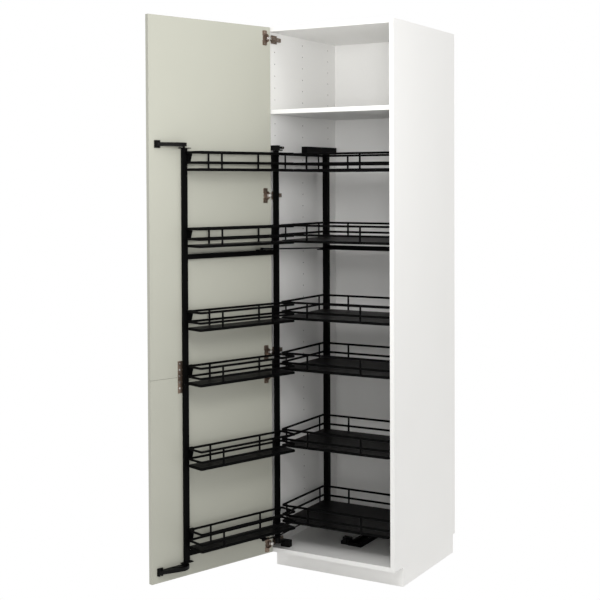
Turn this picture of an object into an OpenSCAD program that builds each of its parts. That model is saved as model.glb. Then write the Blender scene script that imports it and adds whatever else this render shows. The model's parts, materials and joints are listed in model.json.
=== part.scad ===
// Tall kitchen larder cabinet with a linked pull-out.
// The hinged door swings a front frame of wire trays out of the way
// while a coupled inner frame of larger trays slides forward.
// X runs along the front, Y into the cabinet from its front edge, Z up
// from the floor. Everything is drawn with the door open.

/* [Carcass] */
// Outer width of the carcass
carcass_w = 600; // [560:1:700]
// Outer depth of the carcass
carcass_d = 600; // [590:1:650]
// Height of the carcass above the plinth
carcass_h = 2200; // [2180:1:2300]
// Thickness of the carcass boards
board = 18; // [15:0.5:19]
// Thickness of the back panel
back_t = 8; // [6:0.5:12]
// Depth of the groove that holds the back panel
back_groove = 8; // [5:0.5:10]
// Free depth behind the back panel
back_recess = 22; // [15:0.5:30]
// Clear height of the open compartment under the top
upper_clear_h = 325; // [250:1:360]
// Height of the plinth
plinth_h = 80; // [70:1:95]
// Distance of the plinth behind the carcass front
plinth_setback = 78; // [50:1:90]
// Thickness of the plinth boards
plinth_t = 16; // [12:0.5:19]

/* [System holes] */
// Diameter of a shelf hole
hole_d = 5; // [4:0.1:6]
// Depth of a shelf hole
hole_depth = 10; // [8:0.5:12]
// Spacing of the shelf holes up the side
hole_pitch = 50; // [32:1:64]
// Number of hole rows down each side panel
hole_rows = 43; // [5:1:43]
// Setback of the front hole column
hole_front = 50; // [37:1:60]
// Setback of the middle hole column
hole_mid = 277; // [240:1:300]
// Setback of the rear hole column
hole_rear = 501; // [480:1:520]

/* [Door] */
// Thickness of the door leaves
door_t = 18; // [16:0.5:19]
// Gap between the closed door and the carcass front
door_gap = 2; // [2:0.1:3]
// Reveal at each outer edge of the door
door_reveal = 1.5; // [1:0.1:2.5]
// Height of the lower door leaf
lower_leaf_h = 789; // [770:1:800]
// Gap between the two door leaves
leaf_gap = 1; // [0.5:0.1:4]
// Opening angle of the door and the front frame
swing = 108.7; // [100:0.1:108.7]

/* [Concealed hinges] */
// Distance of the fixed hinge pin from the side panel
arm_pin_x = 9; // [8.5:0.1:9.5]
// Distance of the fixed hinge pin behind the carcass front
arm_pin_y = 0.2; // [0:0.1:1]
// Distance of the cup pin from the hinge edge of the door
cup_pin_s = 10.5; // [10:0.1:11]
// Depth of the cup pin in the door
cup_pin_depth = 4.5; // [4.2:0.1:5]
// Swing of the hinge links about their fixed pins
link_swing = 56.9; // [54:0.1:60]
// Diameter of the hinge pins
hinge_pin_d = 3; // [2.5:0.1:3.2]
// Inner diameter of a hinge cup
cup_d = 32; // [31:0.5:33]
// Depth of a hinge cup
cup_depth = 13.5; // [13.4:0.1:14]
// Distance of the cup centre from the hinge edge
cup_s = 21.5; // [21:0.1:22]
// Height of the middle hinge above the floor
hinge_mid_z = 1579; // [1540:1:1620]
// Distance of the end hinges from the door ends, lower
hinge_end_low = 36; // [34:1:45]
// Distance of the end hinges from the door ends, upper
hinge_end_high = 46; // [40:1:60]
// Distance of the hinge below the gap between the leaves
hinge_seam_low = 44; // [40:1:60]
// Distance of the hinge above the gap between the leaves
hinge_seam_high = 53; // [45:1:60]

/* [Front frame] */
// Distance of the front frame pivot from the side panel
pivot_x = 29; // [28.5:0.1:30]
// Distance of the front frame pivot behind the carcass front
pivot_y = 9; // [9:0.1:10]
// Distance between the two posts
frame_w = 461; // [440:1:465]
// Width of a front post along the frame
post_w = 22; // [18:0.5:24]
// Thickness of a front post across the frame
post_t = 13; // [10:0.5:13]
// Height of the front posts' lower ends above the floor
post_low = 140; // [136:1:142]
// Height of the front posts' upper ends above the floor
post_high = 1767; // [1764:1:1770]
// Height of the upper crossbars above the floor, at their centre
crossbar_z = 1342; // [1335:1:1345]
// Height of the lower crossbars above the floor, at their centre
crossbar_low_z = 172; // [170:1:174]
// Height of a crossbar
crossbar_h = 20; // [16:1:20]
// Thickness of a crossbar
crossbar_t = 10; // [6:0.5:12]

/* [Trays] */
// Height of the first tray's top rail above the floor
tray_z1 = 1751; // [1746:1:1753]
// Height of the second tray's top rail
tray_z2 = 1453; // [1440:1:1470]
// Height of the third tray's top rail
tray_z3 = 1129; // [1110:1:1145]
// Height of the fourth tray's top rail
tray_z4 = 914; // [890:1:930]
// Height of the fifth tray's top rail
tray_z5 = 590; // [570:1:610]
// Height of the sixth tray's top rail
tray_z6 = 268; // [264:1:280]
// Depth from a tray's top rail to its bottom rail
tray_h = 68; // [60:1:69]
// Drop of the middle rail below the top rail
mid_drop = 40; // [30:1:45]
// Depth of a front tray between its long rails
front_tray_d = 89; // [70:1:92]
// Overhang of a front tray past the pivot post
front_tray_end = 12; // [8:0.5:13]
// Depth of an inner tray between its long rails
inner_tray_d = 357; // [330:1:360]
// Clearance of the inner trays from each side panel
inner_side_gap = 29.5; // [27:0.5:36]
// Setback of the inner trays' front rails with the door open
inner_front = 45; // [44:0.5:52]
// Height of the flat top and bottom rails
rail_h = 9; // [6:0.5:10]
// Thickness of the flat top and bottom rails
rail_t = 4; // [3:0.5:5]
// Width of an upright between the rails
picket_w = 8; // [5:0.5:9]
// Thickness of an upright between the rails
picket_t = 3.6; // [2.5:0.1:3.8]
// Diameter of the wires under a tray's floor board
wire_d = 5.6; // [4:0.1:7]
// Thickness of a tray's floor board
floor_t = 4; // [3:0.5:5]
// Gap around a tray's floor board
floor_gap = 0.2; // [0.1:0.1:0.5]

/* [Inner frame] */
// Width of an inner post
inner_post_w = 25; // [20:0.5:26]
// Depth of an inner post
inner_post_d = 20; // [16:0.5:22]
// Gap between the trays' rear rail and the inner posts
inner_post_gap = 4; // [3:0.5:6]
// Height of the inner posts' lower ends above the floor
inner_low = 128; // [126:1:130]
// Height of the inner posts' upper ends above the floor
inner_high = 1757; // [1756:1:1758]

/* [Coupling rods] */
// Distance of the rod pivot from the pivot post, along the frame
rod_t = 94; // [90:0.5:98]
// Distance of the rod pivot from the frame's centre plane
rod_g = 22; // [20:0.5:24]
// Diameter of a coupling rod
rod_d = 6; // [5:0.5:7]
// Drop of the upper rod towards the inner frame
rod_drop = 20; // [10:1:22]

/* [Guide arms] */
// Height of a guide arm
arm_h = 14; // [12:0.5:14]
// Gap between a guide arm and the end plate of the post
arm_gap = 5; // [4:0.5:6]
// Diameter of the guide rollers
roller_d = 7.4; // [6:0.1:8]
// Clearance of a roller on each side of its slot
roller_play = 0.5; // [0.4:0.1:0.8]

/* [Runners] */
// Width of the floor runner
runner_w = 62; // [56:1:66]
// Height of the floor runner
runner_h = 14; // [12:0.5:15]
// Setback of the floor runner's front end
runner_front = 170; // [160:1:180]
// Distance of the floor runner's centre right of the middle
runner_off = 27; // [20:1:30]
// Running gap of the slides
slide_gap = 0.5; // [0.3:0.1:0.8]

/* [Fits] */
// Radial clearance of the pivot pins
pin_gap = 0.05; // [0.02:0.01:0.08]

/* [Hidden] */
$fn = 48;

white = "#E9E8E4";
beige = "#CFCBBF";
dark = "#141414";
bronze = "#6B5C50";

inner_x0 = board;
inner_x1 = carcass_w - board;
inner_w = inner_x1 - inner_x0;
top_z = plinth_h + carcass_h;
floor_z = plinth_h + board;
shelf_top = top_z - board - upper_clear_h;
back_y = carcass_d - back_recess - back_t;
first_hole = 49;

door_w = carcass_w - 2 * door_reveal;
door_z0 = plinth_h + door_reveal;
door_z1 = top_z - door_reveal;
seam_z = door_z0 + lower_leaf_h + leaf_gap / 2;
hinge_zs = [
  door_z0 + hinge_end_low, seam_z - hinge_seam_low, seam_z + hinge_seam_high,
  hinge_mid_z, door_z1 - hinge_end_high];

// Plan geometry of the linkage; f runs from 0 with the door open to 1 closed
function turn(v, a) = [v.x * cos(a) - v.y * sin(a), v.x * sin(a) + v.y * cos(a)];
arm_pin = [inner_x0 + arm_pin_x, arm_pin_y];
cup_pin = [door_reveal + cup_pin_s, -door_gap - cup_pin_depth];
function cup_pin_at(f) = arm_pin + turn(cup_pin - arm_pin, link_swing * (1 - f));
pivot = [inner_x0 + pivot_x, pivot_y];
function on_frame(t, g, f) = pivot + turn([t, g], -swing * (1 - f));
function in_door(p, f) = cup_pin + turn(p - cup_pin_at(f), swing * (1 - f));
slot_steps = 8;
roller_path = [for (i = [0 : slot_steps]) in_door(on_frame(frame_w, 0, i / slot_steps), i / slot_steps)];

front_g0 = post_t / 2 + 8.5;
front_g1 = front_g0 + front_tray_d;
inner_tray_x0 = inner_x0 + inner_side_gap;
inner_tray_x1 = carcass_w - inner_tray_x0;
inner_rear = inner_front + inner_tray_d;
inner_post_x0 = inner_tray_x0 - 5.5;
inner_post_y0 = inner_rear + rail_t / 2 + inner_post_gap;
inner_post_mid = inner_post_y0 + inner_post_d / 2;
rod_pin_d = 6;
rod_pin_back = 15;
rod_eye_h = 8;
rod_eye_d = 13;
tray_tops = [tray_z1, tray_z2, tray_z3, tray_z4, tray_z5, tray_z6];

rod_front = on_frame(rod_t, rod_g, 0);
rod_front_shut = on_frame(rod_t, rod_g, 1);
rod_rear = [inner_post_x0 + inner_post_w / 2, inner_post_y0 - rod_pin_back];
rod_len = norm(rod_rear - rod_front);
rod_side_shut = rod_rear.x - rod_front_shut.x;
rod_reach_shut = sqrt(rod_len * rod_len - rod_side_shut * rod_side_shut);
travel = rod_front_shut.y + rod_reach_shut - rod_rear.y;
rod_angle_open = atan2(rod_rear.y - rod_front.y, rod_rear.x - rod_front.x);
rod_turn = atan2(rod_reach_shut, rod_side_shut) - rod_angle_open;
function rod_rear_at(f) = on_frame(rod_t, rod_g, f) + turn(rod_rear - rod_front, rod_turn * f) - [0, travel * f];
rod_path = [for (i = [0 : slot_steps]) rod_rear_at(i / slot_steps)];
rod_bend = pivot + [15, -19];

// Outline of a band of width w along a list of points; the round ends stand
// a trace proud, so that no edge only touches another
function dir_at(p, i) = let (a = p[max(i - 1, 0)], b = p[min(i + 1, len(p) - 1)]) (b - a) / norm(b - a);
function side_at(p, i, w) = let (d = dir_at(p, i)) p[i] + [-d.y, d.x] * w / 2;
module band(p, w) {
  last = len(p) - 1;
  left = [for (i = [0 : last]) side_at(p, i, w)];
  right = [for (i = [last : -1 : 0]) side_at(p, i, -w)];
  polygon(concat(left, right));
  translate(p[0]) circle(d = w + 0.02);
  translate(p[last]) circle(d = w + 0.02);
}

module box(a, b) {
  translate(a) cube(b - a);
}

module tube_along(p, q, d) {
  v = q - p;
  translate(p)
    rotate([0, acos(v.z / norm(v)), atan2(v.y, v.x)])
      cylinder(h = norm(v), d = d);
}

// Puts the origin under the middle of the front plinth board
module placed() {
  translate([-carcass_w / 2, -plinth_setback - plinth_t / 2, 0]) children();
}

module door_pose() {
  translate(cup_pin_at(0)) rotate(-swing) translate(-cup_pin) children();
}

module link_pose() {
  translate(arm_pin) rotate(link_swing) translate(-arm_pin) children();
}

module frame_pose() {
  translate(pivot) rotate(-swing) children();
}

// Carcass

function hole_z(row) = top_z - first_hole - row * hole_pitch;
shelf_mid = shelf_top - board / 2;
free_rows = [for (row = [0 : hole_rows - 1])
  if (abs(hole_z(row) - shelf_mid) > board && hole_z(row) > floor_z + board) row];

// The top row leaves out the front hole, where the upper hinge sits
module shelf_holes(side) {
  mouth = side < 0 ? inner_x0 : inner_x1;
  for (row = free_rows)
    for (y = row == 0 ? [hole_mid, hole_rear] : [hole_front, hole_mid, hole_rear])
      translate([mouth, y, hole_z(row)])
        rotate([0, 90, 0])
          cylinder(h = 2 * hole_depth, d = hole_d, center = true, $fn = 24);
}

module back_groove_cut() {
  groove_z = plinth_h + board - back_groove;
  box([inner_x0 - back_groove, back_y, groove_z],
      [inner_x1 + back_groove, back_y + back_t, top_z - board + back_groove]);
}

module side_panel(side) {
  x = side < 0 ? 0 : inner_x1;
  color(white) placed() difference() {
    box([x, 0, plinth_h], [x + board, carcass_d, top_z]);
    back_groove_cut();
    shelf_holes(side);
  }
}

module side_panel_left() {
  side_panel(-1);
}

module side_panel_right() {
  side_panel(1);
}

module top_panel() {
  color(white) placed() difference() {
    box([inner_x0, 0, top_z - board], [inner_x1, carcass_d, top_z]);
    back_groove_cut();
  }
}

module bottom_panel() {
  color(white) placed() difference() {
    box([inner_x0, 0, plinth_h], [inner_x1, carcass_d, floor_z]);
    back_groove_cut();
  }
}

module back_panel() {
  color(white) placed() intersection() {
    back_groove_cut();
    box([0, 0, 0], [carcass_w, carcass_d, top_z]);
  }
}

module fixed_shelf() {
  color(white) placed() box([inner_x0, 0, shelf_top - board], [inner_x1, back_y, shelf_top]);
}

module plinth_front() {
  color(white) placed() box([0, plinth_setback, 0], [carcass_w, plinth_setback + plinth_t, plinth_h]);
}

module plinth_side(x) {
  color(white) placed()
    box([x, plinth_setback + plinth_t, 0], [x + plinth_t, back_y + back_t, plinth_h]);
}

module plinth_left() {
  plinth_side(0);
}

module plinth_right() {
  plinth_side(carcass_w - plinth_t);
}

module plinth_rear() {
  color(white) placed()
    box([plinth_t, back_y + back_t - plinth_t, 0], [carcass_w - plinth_t, back_y + back_t, plinth_h]);
}

// Concealed hinges

cheek_in = 5.5;
cheek_out = 8;
link_w = 10;
nose_r = 3.5;
nose_clear = 0.3;
arm_start = 8;
arm_step = 67;
arm_end = 83;
clip_start = 20;
clip_end = 62;
clip_half = 17;
screw_1 = 30;
screw_2 = 56;

module hinge_arm() {
  plate_x = inner_x0 + 3;
  arm_x1 = arm_pin.x + nose_r;
  nose = [[plate_x, arm_start + 1], [plate_x, arm_start - 3], arm_pin + [-nose_r, 0], arm_pin + [nose_r, 0],
    [arm_x1, arm_start + 1]];
  difference() {
    union() {
      box([inner_x0, clip_start, -clip_half], [plate_x, clip_end, clip_half]);
      box([plate_x, arm_start, -cheek_out], [arm_x1, arm_step, cheek_out]);
      box([plate_x, arm_step - 1, -cheek_out], [arm_x1 - 2, arm_end, cheek_out]);
      for (s = [-1, 1])
        translate([0, 0, s > 0 ? cheek_in : -cheek_out]) {
          linear_extrude(cheek_out - cheek_in) polygon(nose);
          translate(arm_pin) cylinder(h = cheek_out - cheek_in, r = nose_r);
        }
      translate([arm_pin.x, arm_pin.y, -cheek_out]) cylinder(h = 2 * cheek_out, d = hinge_pin_d);
    }
    // Flat nose, clear of the closed door
    box([inner_x0, -20, -cheek_out - 1], [arm_x1 + 1, -door_gap + nose_clear, cheek_out + 1]);
    // Slots of the adjusting screws
    for (y = [screw_1, screw_2])
      translate([arm_x1 - 2, y, 0]) rotate([0, 90, 0]) cylinder(h = 4, d = 7);
  }
}

module hinge_arms() {
  color(bronze) placed() for (z = hinge_zs) translate([0, 0, z]) hinge_arm();
}

// Middle line of a link, from the fixed pin round the door's edge to the cup pin,
// given beside the open door and turned back to the closed position
link_rel = swing + link_swing;
link_over = [[-3, 3], [5, 3], [9.8, 1]];
function door_to_shut(p) = cup_pin + turn([p.x - cup_pin_s, p.y + cup_pin_depth], -link_rel);
link_line = concat([arm_pin, arm_pin + turn([0, -7], 13)],
  [for (p = link_over) door_to_shut(p)], [cup_pin]);

module hinge_link() {
  difference() {
    translate([0, 0, -link_w / 2]) linear_extrude(link_w) {
      band(link_line, 4);
      translate(arm_pin) circle(r = 3.1);
      translate(cup_pin) circle(r = 2.9);
    }
    for (p = [arm_pin, cup_pin])
      translate([p.x, p.y, -link_w]) cylinder(h = 2 * link_w, d = hinge_pin_d + 2 * pin_gap);
  }
}

module hinge_links() {
  color(bronze) placed() link_pose() for (z = hinge_zs) translate([0, 0, z]) hinge_link();
}

cup_x = door_reveal + cup_s;
cup_wall = 1.5;
cup_floor = 1;
bowl_under = 0.05;
wing_t = 1.5;
wing_in = 1.5;
wing_back = 4;
wing_out = 19;

// A pressed bowl, flush with the door, and two wings that lie on the door beside the arm
module hinge_cup() {
  face = -door_gap;
  difference() {
    translate([cup_x, face - bowl_under, 0]) rotate([90, 0, 0])
      cylinder(h = cup_depth + cup_floor - bowl_under, d = cup_d + 2 * cup_wall);
    translate([cup_x, face + 5, 0]) rotate([90, 0, 0]) cylinder(h = cup_depth + 5, d = cup_d);
  }
  translate([cup_pin.x, cup_pin.y, -12.5]) cylinder(h = 25, d = hinge_pin_d);
  difference() {
    union() {
      translate([cup_x, face + wing_t, 0]) rotate([90, 0, 0]) cylinder(h = wing_t, d = cup_d + 5);
      box([cup_x - wing_back, face, -31], [cup_x + wing_out, face + wing_t, 31]);
    }
    translate([cup_x, face + 5, 0]) rotate([90, 0, 0]) cylinder(h = 10, d = cup_d);
    box([cup_x - 30, face - 1, -cheek_out - wing_in], [cup_x + 30, face + 3, cheek_out + wing_in]);
    for (s = [-1, 1])
      translate([cup_x + 9.5, face - 1, s * 23.5]) rotate([-90, 0, 0]) cylinder(h = 5, d = 5);
  }
}

module hinge_cups() {
  color(bronze) placed() door_pose() for (z = hinge_zs) translate([0, 0, z]) hinge_cup();
}

// Door

module door_leaf(z0, z1) {
  cut_d = cup_d + 2 * cup_wall + 0.2;
  cut_h = cup_depth + cup_floor + 0.1;
  color(beige) placed() door_pose() difference() {
    box([door_reveal, -door_gap - door_t, z0], [door_reveal + door_w, -door_gap, z1]);
    for (z = hinge_zs)
      if (z > z0 && z < z1)
        translate([cup_x, -door_gap + 1, z]) rotate([90, 0, 0]) cylinder(h = cut_h + 1, d = cut_d);
  }
}

module door_upper() {
  door_leaf(seam_z + leaf_gap / 2, door_z1);
}

module door_lower() {
  door_leaf(door_z0, seam_z - leaf_gap / 2);
}

plate_s = 441;
plate_w = 30;
plate_h = 126;
plate_t = 1.5;

module joining_plate() {
  color(bronze) placed() door_pose() difference() {
    box([door_reveal + plate_s, -door_gap, seam_z - plate_h / 2],
        [door_reveal + plate_s + plate_w, -door_gap + plate_t, seam_z + plate_h / 2]);
    for (row = [-2 : 2])
      for (col = [-1, 1])
        translate([door_reveal + plate_s + plate_w / 2 + col * 8, -door_gap - 1, seam_z + row * 24 + 5])
          rotate([-90, 0, 0]) cylinder(h = plate_t + 2, d = 5, $fn = 24);
  }
}

// Guide arms: fixed to the door, each with a curved slot for a roller

end_plate_t = 3;
slot_floor = 4;
arm_foot_in = 36;
arm_foot = [door_reveal + door_w - arm_foot_in, -door_gap + 9];
arm_band = roller_d + 2 * roller_play + 10;
arm_line = concat(roller_path, [arm_foot]);
top_arm_z = post_high + end_plate_t + arm_gap;
low_arm_z = post_low - end_plate_t - arm_gap - arm_h;

// slot_up tells whether the slot opens upwards
module guide_arm(z, slot_up) {
  slot_z = slot_up ? z + slot_floor : z - 1;
  color(dark) placed() door_pose() {
    difference() {
      translate([0, 0, z]) linear_extrude(arm_h) hull() band(arm_line, arm_band);
      translate([0, 0, slot_z]) linear_extrude(arm_h - slot_floor + 1)
        band(roller_path, roller_d + 2 * roller_play);
      box([0, -door_gap - door_t, z - 1], [carcass_w, -door_gap + 0.3, z + arm_h + 1]);
    }
    for (dx = [-7, 6])
      translate([arm_foot.x + dx, -door_gap + 6.5, z + arm_h / 2])
        cylinder(h = 30, d = 9, center = true);
    box([arm_foot.x - 12, -door_gap, z + arm_h / 2 - 15],
        [arm_foot.x + 12, -door_gap + 3, z + arm_h / 2 + 15]);
  }
}

module guide_arm_top() {
  guide_arm(top_arm_z, false);
}

module guide_arm_bottom() {
  guide_arm(low_arm_z, true);
}

// Brackets that carry the front frame

pivot_pin_d = 8;
pivot_pin_in = 18;
pivot_lift = 0.5;
bracket_long = 112;
bracket_short = 100;
bracket_screw_1 = 50;
bracket_screw_2 = 98;

module pivot_bracket_top() {
  z0 = post_high + 1;
  color(dark) placed() {
    translate([pivot.x, pivot.y, z0 - pivot_pin_in]) cylinder(h = pivot_pin_in + 10, d = pivot_pin_d);
    difference() {
      union() {
        box([inner_x0, 0.5, z0], [pivot.x + 13, 20, z0 + 20]);
        box([inner_x0, 0.5, z0 + 8], [inner_x0 + 6, bracket_long, z0 + 18]);
        box([inner_x0, 0.5, z0], [inner_x0 + 6, bracket_short, z0 + 4]);
      }
      for (y = [bracket_screw_1, bracket_screw_2])
        translate([inner_x0 - 1, y, z0 + 13]) rotate([0, 90, 0]) cylinder(h = 9, d = 5, $fn = 24);
    }
  }
}

module pivot_bracket_bottom() {
  top = post_low - pivot_lift;
  block = [[50, 28, floor_z], [92, 50, floor_z + 28]];
  color(dark) placed() {
    difference() {
      union() {
        box(block[0], block[1]);
        translate([pivot.x, pivot.y, floor_z + 18]) cylinder(h = top - floor_z - 18, d = 20);
        box([pivot.x - 10, pivot.y, floor_z + 18], [pivot.x + 18, 40, floor_z + 28]);
      }
      translate([82, 39, floor_z + 8]) cylinder(h = 30, d = 9);
      translate([82, 39, floor_z - 1]) cylinder(h = 30, d = 5);
    }
    translate([pivot.x, pivot.y, floor_z + 20])
      cylinder(h = top - floor_z - 20 + pivot_pin_in, d = pivot_pin_d);
  }
}

// Front frame, drawn along X from its pivot post and then swung open

roller_h = arm_gap + arm_h - slot_floor - 1;

module front_post(t) {
  box([t - post_w / 2, -post_t / 2, post_low], [t + post_w / 2, post_t / 2, post_high]);
}

module front_post_pivot() {
  bore_d = pivot_pin_d + 2 * pin_gap;
  color(dark) placed() frame_pose() difference() {
    front_post(0);
    translate([0, 0, post_high - pivot_pin_in - 2]) cylinder(h = pivot_pin_in + 4, d = bore_d);
    translate([0, 0, post_low - 2]) cylinder(h = pivot_pin_in + 4, d = bore_d);
  }
}

end_plate_half = 25;
end_plate_out = 12;

// Carries a plate and a roller pin for each guide arm
module front_post_outer() {
  color(dark) placed() frame_pose() {
    front_post(frame_w);
    for (z = [post_low - end_plate_t, post_high])
      box([frame_w - end_plate_half, -post_t / 2, z],
          [frame_w + end_plate_half, end_plate_out, z + end_plate_t]);
    translate([frame_w, 0, post_high]) cylinder(h = end_plate_t + roller_h, d = roller_d);
    translate([frame_w, 0, post_low - end_plate_t - roller_h])
      cylinder(h = end_plate_t + roller_h, d = roller_d);
  }
}

// The lug and its pin carry a coupling rod
module front_crossbar(z, up) {
  lug_t = 4;
  lug_z = up ? z + crossbar_h / 2 : z - crossbar_h / 2 - lug_t;
  pin_h = rod_eye_h + 5;
  color(dark) placed() frame_pose() {
    box([post_w / 2, -crossbar_t / 2, z - crossbar_h / 2],
        [frame_w - post_w / 2, crossbar_t / 2, z + crossbar_h / 2]);
    box([rod_t - 14, -crossbar_t / 2, lug_z], [rod_t + 10, rod_g + 8, lug_z + lug_t]);
    translate([rod_t, rod_g, up ? lug_z : lug_z + lug_t - pin_h]) cylinder(h = pin_h, d = rod_pin_d);
  }
}

module front_crossbar_top() {
  front_crossbar(crossbar_z, true);
}

module front_crossbar_low() {
  front_crossbar(crossbar_low_z, false);
}

// Hook plate that holds a tray's top rail; drawn in the plane across the post
module hook(face, rail, z, w = hook_t) {
  notch = rail_t / 2 + 0.2;
  rim = rail + notch + 3;
  points = [
    [face, z - 38], [face + 3, z - 38], [rim, z - rail_h / 2 - 4], [rim, z + rail_h / 2],
    [rail + notch, z + rail_h / 2], [rail + notch, z - rail_h / 2], [rail - notch, z - rail_h / 2],
    [rail - notch, z + rail_h / 2], [face, z + rail_h / 2]];
  rotate([90, 0, 90]) linear_extrude(w, center = true) polygon(points);
}

hook_t = 4;
hook_off = 2.2;
outer_hook_t = 16;
outer_hook_in = 8;

// The outer hooks are folded wide, beside the post
module front_hooks() {
  color(dark) placed() frame_pose()
    for (z = tray_tops) {
      hook(post_t / 2, front_g0, z);
      translate([frame_w - outer_hook_in - outer_hook_t / 2, 0, 0])
        hook(post_t / 2, front_g0, z, outer_hook_t);
    }
}

// Wire trays

rail_r = 8;
wire_gap = 0.05;

module rounded(a, b, r) {
  translate(a + [r, 0]) square(b - a - [2 * r, 0]);
  translate(a + [0, r]) square(b - a - [0, 2 * r]);
  for (x = [a.x + r, b.x - r])
    for (y = [a.y + r, b.y - r])
      translate([x, y]) circle(r = r, $fn = 32);
}

// One wall of a tray, along X from 0 to len, with half of each round corner.
// The four walls meet at the middle of the corners.
seam = 0.15;

// The bends are this much thinner, as bent strip is, so they meet the straight rails in plain faces
bend_less = 0.04;
module wall(len, z, ups) {
  low = z - tray_h;
  rails = [z, z - mid_drop, low];
  for (h = rails)
    translate([rail_r, -rail_t / 2, h - rail_h / 2]) cube([len - 2 * rail_r, rail_t, rail_h]);
  for (end = [0, 1])
    translate([end == 0 ? rail_r : len - rail_r, rail_r, 0])
      rotate(end == 0 ? 225 + seam : 270)
        for (h = rails)
          translate([0, 0, h]) rotate_extrude(angle = 45 - seam)
            translate([rail_r, 0]) square([rail_t - bend_less, rail_h - bend_less], center = true);
  for (x = ups)
    translate([x - picket_w / 2, -picket_t / 2, low + 3]) cube([picket_w, picket_t, tray_h - 6]);
}

module tray(a, b, z, xs, ys, bars) {
  size = b - a;
  low = z - tray_h;
  translate(a) wall(size.x, z, [for (x = xs) x - a.x]);
  translate(b) rotate(180) wall(size.x, z, [for (x = xs) b.x - x]);
  translate([b.x, a.y]) rotate(90) wall(size.y, z, [for (y = ys) y - a.y]);
  translate([a.x, b.y]) rotate(-90) wall(size.y, z, [for (y = ys) b.y - y]);
  // Cross wires under the floor board, between the long rails
  for (i = [1 : bars])
    translate([a.x + size.x * i / (bars + 1), a.y + rail_t / 2 + wire_gap, low - 1])
      rotate([-90, 0, 0]) cylinder(h = size.y - rail_t - 2 * wire_gap, d = wire_d);
}

module tray_floor(a, b, z) {
  in = [1, 1] * (rail_t / 2 + floor_gap);
  translate([0, 0, z - tray_h - 1 + wire_d / 2 + floor_gap]) linear_extrude(floor_t)
    rounded(a + in, b - in, rail_r - in.x);
}

front_a = [-front_tray_end, front_g0];
front_b = [frame_w, front_g1];
picket_in = 106;
picket_back = 117;

module front_tray(i) {
  color(dark) placed() frame_pose()
    tray(front_a, front_b, tray_tops[i], [front_a.x + picket_back, front_b.x - picket_in], [], 3);
}

module front_tray_1() {
  front_tray(0);
}

module front_tray_2() {
  front_tray(1);
}

module front_tray_3() {
  front_tray(2);
}

module front_tray_4() {
  front_tray(3);
}

module front_tray_5() {
  front_tray(4);
}

module front_tray_6() {
  front_tray(5);
}

module front_floors() {
  color(dark) placed() frame_pose() for (z = tray_tops) tray_floor(front_a, front_b, z);
}

inner_a = [inner_tray_x0, inner_front];
inner_b = [inner_tray_x1, inner_rear];
inner_picket_x = 127;
inner_picket_y = 38;

module inner_tray(i) {
  xs = [inner_a.x + inner_picket_x, inner_b.x - inner_picket_x];
  ys = [inner_a.y + inner_picket_y, inner_b.y - inner_picket_y];
  color(dark) placed() tray(inner_a, inner_b, tray_tops[i], xs, ys, 5);
}

module inner_tray_1() {
  inner_tray(0);
}

module inner_tray_2() {
  inner_tray(1);
}

module inner_tray_3() {
  inner_tray(2);
}

module inner_tray_4() {
  inner_tray(3);
}

module inner_tray_5() {
  inner_tray(4);
}

module inner_tray_6() {
  inner_tray(5);
}

module inner_floors() {
  color(dark) placed() for (z = tray_tops) tray_floor(inner_a, inner_b, z);
}

// Inner frame

base_bar_h = 20;
slot_plate_t = 4;
top_slot_z = crossbar_z - 9;
low_slot_z = crossbar_low_z - crossbar_h / 2 - 4 - rod_eye_h - 6;

// Straight slot that takes in the whole looped path of a rod's rear pin
slot_reach = max([for (p = rod_path) norm(p - rod_path[0])]);
slot_far = [for (p = rod_path) if (norm(p - rod_path[0]) == slot_reach) p][0];
slot_dir = (slot_far - rod_path[0]) / slot_reach;
slot_side = max([for (p = rod_path) abs(cross(slot_dir, p - rod_path[0]))]);
rod_slot_w = rod_pin_d + 2 + 2 * slot_side;

// Plate on the left inner post with that slot
module slot_plate(z) {
  margin = rod_slot_w / 2 + 4;
  color(dark) placed() difference() {
    box([rod_path[0].x - margin, slot_far.y - margin, z],
        [slot_far.x + margin, inner_post_y0, z + slot_plate_t]);
    translate([0, 0, z - 1]) linear_extrude(slot_plate_t + 2)
      band([rod_path[0], slot_far], rod_slot_w);
  }
}

module slot_plate_top() {
  slot_plate(top_slot_z);
}

module slot_plate_bottom() {
  slot_plate(low_slot_z);
}

inner_post_x1 = carcass_w - inner_post_x0 - inner_post_w;

module inner_post(x) {
  color(dark) placed()
    box([x, inner_post_y0, inner_low], [x + inner_post_w, inner_post_y0 + inner_post_d, inner_high]);
}

module inner_post_left() {
  inner_post(inner_post_x0);
}

module inner_post_right() {
  inner_post(inner_post_x1);
}

module inner_bar(z0, h, t) {
  color(dark) placed()
    box([inner_post_x0 + inner_post_w, inner_post_mid - t / 2, z0],
        [inner_post_x1, inner_post_mid + t / 2, z0 + h]);
}

module inner_crossbar() {
  inner_bar(crossbar_z - crossbar_h / 2, crossbar_h, crossbar_t);
}

module inner_base_bar() {
  inner_bar(inner_low, base_bar_h, inner_post_d);
}

module inner_hooks() {
  left = inner_post_x0 + inner_post_w / 2;
  color(dark) placed()
    for (z = tray_tops)
      for (x = [left + hook_off, carcass_w - left - hook_off])
        translate([x, 2 * inner_post_y0 - 0, 0]) mirror([0, 1, 0])
          hook(inner_post_y0, 2 * inner_post_y0 - inner_rear, z);
}

// Runners

runner_x = carcass_w / 2 + runner_off;
runner_wall = 3;
lip = 14;

module floor_runner() {
  half = runner_w / 2;
  color(dark) placed() difference() {
    box([runner_x - half, runner_front, floor_z], [runner_x + half, back_y - 1, floor_z + runner_h]);
    box([runner_x - half + runner_wall, runner_front + 4, floor_z + runner_wall],
        [runner_x + half - runner_wall, back_y - 5, floor_z + runner_h - runner_wall]);
    box([runner_x - half + lip, runner_front + 4, floor_z + runner_wall],
        [runner_x + half - lip, back_y - 5, floor_z + runner_h + 1]);
  }
}

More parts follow.
